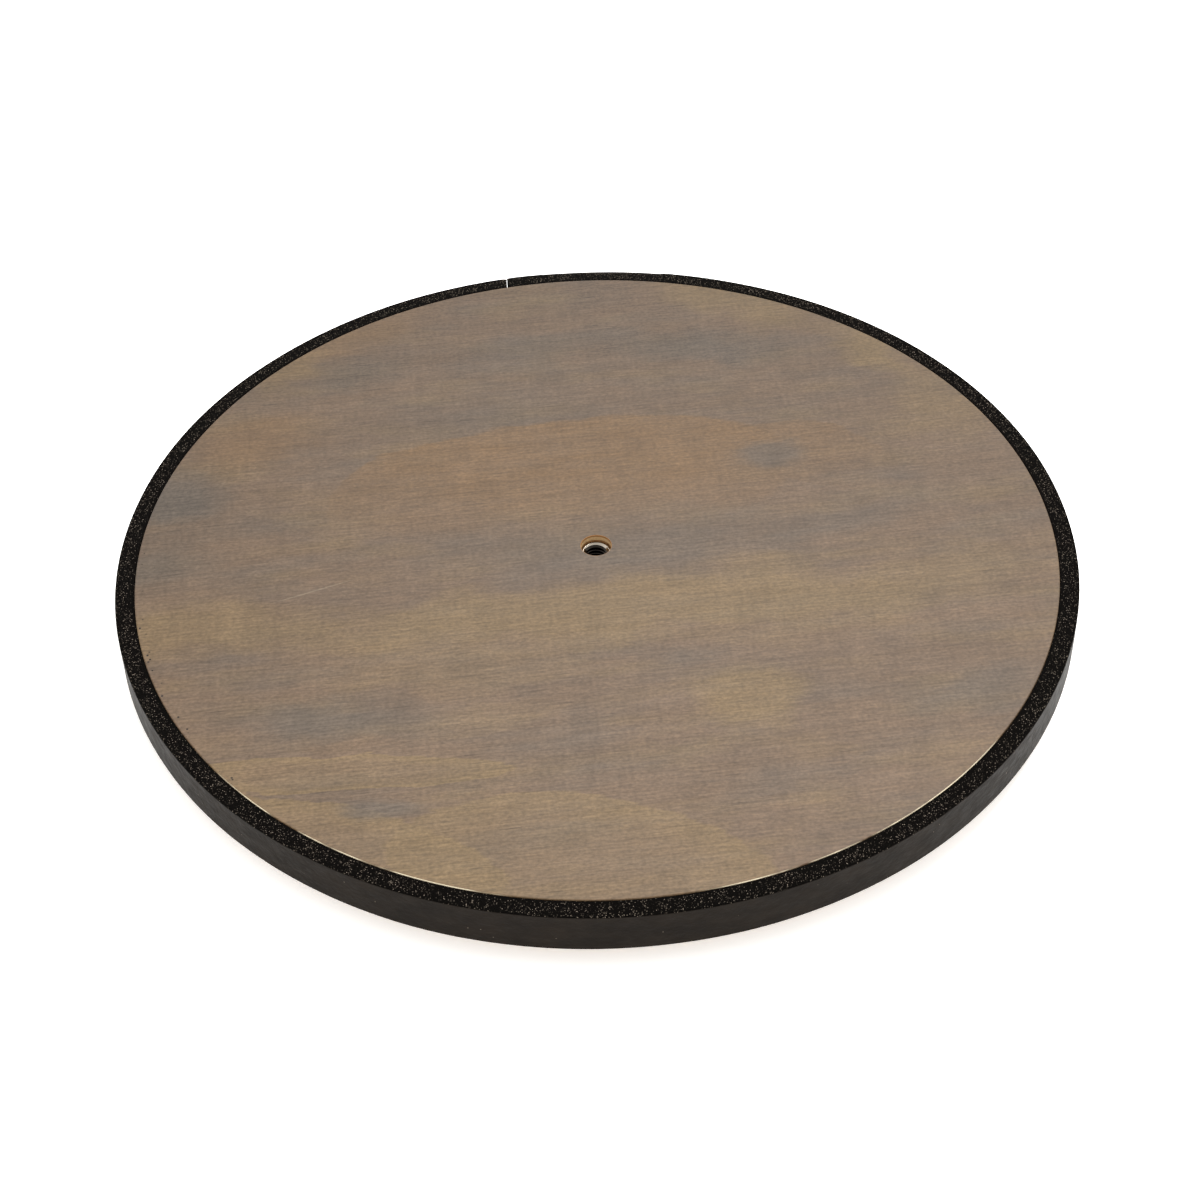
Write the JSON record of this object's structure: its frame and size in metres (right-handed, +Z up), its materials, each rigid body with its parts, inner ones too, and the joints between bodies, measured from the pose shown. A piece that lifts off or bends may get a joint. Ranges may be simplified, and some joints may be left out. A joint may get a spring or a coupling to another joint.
{
  "type": "turntable display stand",
  "caption": "Low round turntable: a stained plywood platter with a foam edge band and a threaded centre nut, on a slim ball ring bearing with rubber pads.",
  "frame": {"origin": "on the table, under the middle of the platter, at the height of the rubber pads' undersides", "axes": "+Z up along the turning axis; at rest the joint in the foam band lies 101.6 degrees anticlockwise from +X seen from above"},
  "size_m": [0.3178, 0.3178, 0.0217],
  "materials": {
    "stained_plywood": "grey-brown stain, matt",
    "black_foam": "closed-cell foam, skinned side and cut edges",
    "zinc_plated_steel": "bright zinc plate",
    "turned_aluminium": "turned",
    "rivet_aluminium": "headed and faced",
    "bearing_steel": "ground and polished",
    "natural_nylon": "moulded",
    "pad_rubber": "moulded"
  },
  "bodies": {
    "base": {"bearing_outer_ring": "turned_aluminium", "rubber_pad_01": "pad_rubber", "rubber_pad_02": "pad_rubber", "rubber_pad_03": "pad_rubber", "rubber_pad_04": "pad_rubber", "rubber_pad_05": "pad_rubber", "rubber_pad_06": "pad_rubber", "rubber_pad_07": "pad_rubber", "rubber_pad_08": "pad_rubber"},
    "platter": {"platter": "stained_plywood", "edge_band": "black_foam", "tee_nut": "zinc_plated_steel", "bearing_inner_ring_upper": "turned_aluminium", "bearing_inner_ring_lower": "turned_aluminium", "platter_screw_01": "zinc_plated_steel", "platter_screw_02": "zinc_plated_steel", "platter_screw_03": "zinc_plated_steel", "platter_screw_04": "zinc_plated_steel", "platter_screw_05": "zinc_plated_steel", "platter_screw_06": "zinc_plated_steel", "ring_rivet_01": "rivet_aluminium", "ring_rivet_02": "rivet_aluminium", "ring_rivet_03": "rivet_aluminium", "ring_rivet_04": "rivet_aluminium", "ring_rivet_05": "rivet_aluminium", "ring_rivet_06": "rivet_aluminium"},
    "cage": {"ball_cage": "natural_nylon", "ball_01": "bearing_steel", "ball_02": "bearing_steel", "ball_03": "bearing_steel", "ball_04": "bearing_steel", "ball_05": "bearing_steel", "ball_06": "bearing_steel", "ball_07": "bearing_steel", "ball_08": "bearing_steel", "ball_09": "bearing_steel", "ball_10": "bearing_steel", "ball_11": "bearing_steel", "ball_12": "bearing_steel", "ball_13": "bearing_steel", "ball_14": "bearing_steel", "ball_15": "bearing_steel", "ball_16": "bearing_steel", "ball_17": "bearing_steel", "ball_18": "bearing_steel", "ball_19": "bearing_steel", "ball_20": "bearing_steel", "ball_21": "bearing_steel", "ball_22": "bearing_steel", "ball_23": "bearing_steel", "ball_24": "bearing_steel"}
  },
  "joints": [
    {"name": "platter_spin", "type": "hinge", "parent": "base", "child": "platter", "pos_m": [0, 0, 0.00387], "axis": [0, 0, 1], "continuous": true},
    {"name": "cage_spin", "type": "hinge", "parent": "base", "child": "cage", "pos_m": [0, 0, 0.00387], "axis": [0, 0, 1], "continuous": true}
  ],
  "couplings": [
    {"joint": "cage_spin", "follows": "platter_spin", "ratio": 0.4936}
  ]
}
